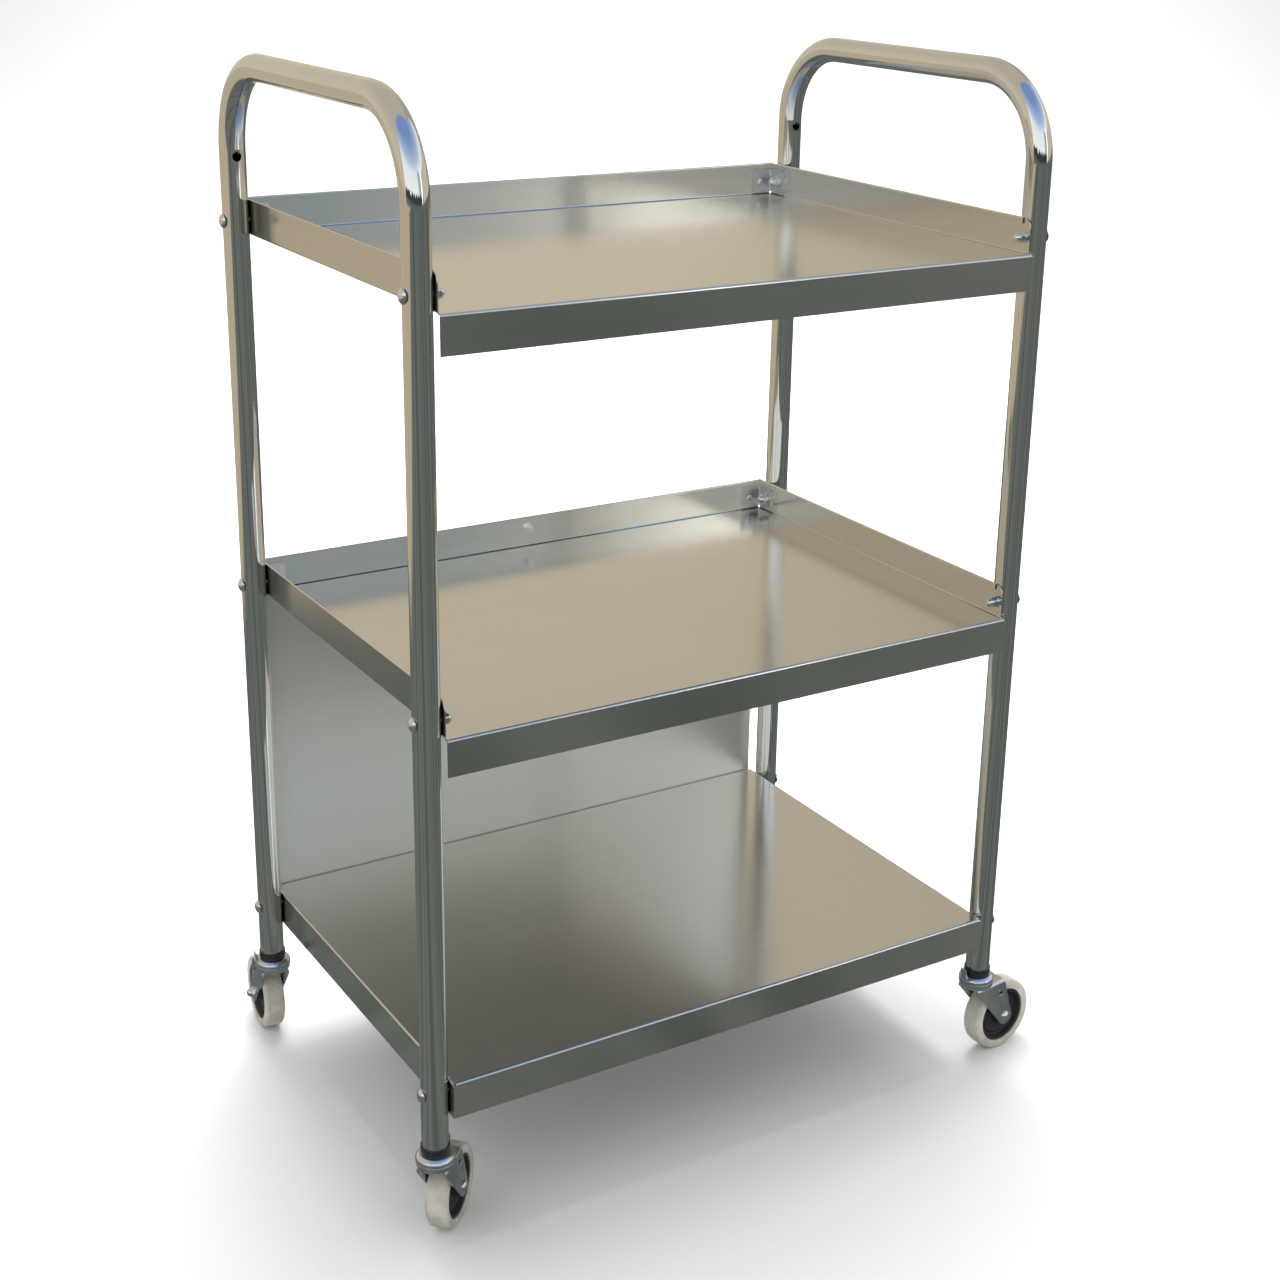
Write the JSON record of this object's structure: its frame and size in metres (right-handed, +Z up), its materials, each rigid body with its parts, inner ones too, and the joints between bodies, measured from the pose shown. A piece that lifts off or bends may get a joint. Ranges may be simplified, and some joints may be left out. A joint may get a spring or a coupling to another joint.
{
  "type": "food service trolley",
  "caption": "Open service trolley: bent-tube end frames with handle bars, lipped trays, a flat bottom shelf with a back panel, and swivel casters.",
  "frame": {"origin": "middle of the whole box, on the floor under the wheels", "axes": "+X along the trays to the right-hand frame, +Y to the back panel, +Z up"},
  "size_m": [0.7352, 0.4998, 1.051],
  "materials": {
    "chromed_tube": "bright chrome plate on steel tube",
    "stainless_sheet": "satin stainless sheet, fine grain along the length",
    "zinc_bracket": "bright zinc plate",
    "zinc_pressing": "blue-white zinc plate on pressed steel",
    "plated_fastener": "bright nickel or zinc plate",
    "bearing_steel": "polished steel balls",
    "black_plug": "glossy black moulding",
    "dark_hub": "semi-gloss black-brown moulding",
    "grey_tyre": "light grey non-marking rubber"
  },
  "bodies": {
    "cart": {"left_frame": "chromed_tube", "right_frame": "chromed_tube", "top_tray": "stainless_sheet", "middle_tray": "stainless_sheet", "bottom_shelf": "stainless_sheet", "back_panel": "stainless_sheet", "top_tray_left_bracket": "zinc_bracket", "top_tray_right_bracket": "zinc_bracket", "middle_tray_left_bracket": "zinc_bracket", "middle_tray_right_bracket": "zinc_bracket", "bracket_rivets": "plated_fastener", "frame_bolts": "plated_fastener", "bolt_washers": "plated_fastener", "dome_nuts": "plated_fastener", "panel_bolts": "plated_fastener", "panel_washers": "plated_fastener", "panel_nuts": "plated_fastener", "front_left_leg_plug": "black_plug", "front_left_stem": "zinc_pressing", "front_left_top_race": "zinc_pressing", "front_left_bearing_balls": "bearing_steel", "front_right_leg_plug": "black_plug", "front_right_stem": "zinc_pressing", "front_right_top_race": "zinc_pressing", "front_right_bearing_balls": "bearing_steel", "rear_left_leg_plug": "black_plug", "rear_left_stem": "zinc_pressing", "rear_left_top_race": "zinc_pressing", "rear_left_bearing_balls": "bearing_steel", "rear_right_leg_plug": "black_plug", "rear_right_stem": "zinc_pressing", "rear_right_top_race": "zinc_pressing", "rear_right_bearing_balls": "bearing_steel"},
    "front_left_swivel": {"front_left_fork": "zinc_pressing", "front_left_axle_bolt": "plated_fastener", "front_left_axle_nut": "plated_fastener", "front_left_axle_bush": "zinc_pressing"},
    "front_left_wheel": {"front_left_hub": "dark_hub", "front_left_tyre": "grey_tyre"},
    "front_right_swivel": {"front_right_fork": "zinc_pressing", "front_right_axle_bolt": "plated_fastener", "front_right_axle_nut": "plated_fastener", "front_right_axle_bush": "zinc_pressing"},
    "front_right_wheel": {"front_right_hub": "dark_hub", "front_right_tyre": "grey_tyre"},
    "rear_left_swivel": {"rear_left_fork": "zinc_pressing", "rear_left_axle_bolt": "plated_fastener", "rear_left_axle_nut": "plated_fastener", "rear_left_axle_bush": "zinc_pressing"},
    "rear_left_wheel": {"rear_left_hub": "dark_hub", "rear_left_tyre": "grey_tyre"},
    "rear_right_swivel": {"rear_right_fork": "zinc_pressing", "rear_right_axle_bolt": "plated_fastener", "rear_right_axle_nut": "plated_fastener", "rear_right_axle_bush": "zinc_pressing"},
    "rear_right_wheel": {"rear_right_hub": "dark_hub", "rear_right_tyre": "grey_tyre"}
  },
  "joints": [
    {"name": "front_left_swivel_turn", "type": "hinge", "parent": "cart", "child": "front_left_swivel", "pos_m": [-0.34772, -0.23141, 0.0929], "axis": [0, 0, 1], "continuous": true},
    {"name": "front_left_wheel_spin", "type": "hinge", "parent": "front_left_swivel", "child": "front_left_wheel", "pos_m": [-0.32254, -0.2071, 0.04], "axis": [-0.6947, 0.7193, 0], "continuous": true},
    {"name": "front_right_swivel_turn", "type": "hinge", "parent": "cart", "child": "front_right_swivel", "pos_m": [0.29228, -0.23141, 0.0929], "axis": [0, 0, 1], "continuous": true},
    {"name": "front_right_wheel_spin", "type": "hinge", "parent": "front_right_swivel", "child": "front_right_wheel", "pos_m": [0.32709, -0.22775, 0.04], "axis": [-0.1045, 0.9945, 0], "continuous": true},
    {"name": "rear_left_swivel_turn", "type": "hinge", "parent": "cart", "child": "rear_left_swivel", "pos_m": [-0.34772, 0.17459, 0.0929], "axis": [0, 0, 1], "continuous": true},
    {"name": "rear_left_wheel_spin", "type": "hinge", "parent": "rear_left_swivel", "child": "rear_left_wheel", "pos_m": [-0.34467, 0.20946, 0.04], "axis": [-0.9962, 0.0872, 0], "continuous": true},
    {"name": "rear_right_swivel_turn", "type": "hinge", "parent": "cart", "child": "rear_right_swivel", "pos_m": [0.29228, 0.17459, 0.0929], "axis": [0, 0, 1], "continuous": true},
    {"name": "rear_right_wheel_spin", "type": "hinge", "parent": "rear_right_swivel", "child": "rear_right_wheel", "pos_m": [0.30707, 0.20631, 0.04], "axis": [-0.9063, 0.4226, 0], "continuous": true}
  ]
}
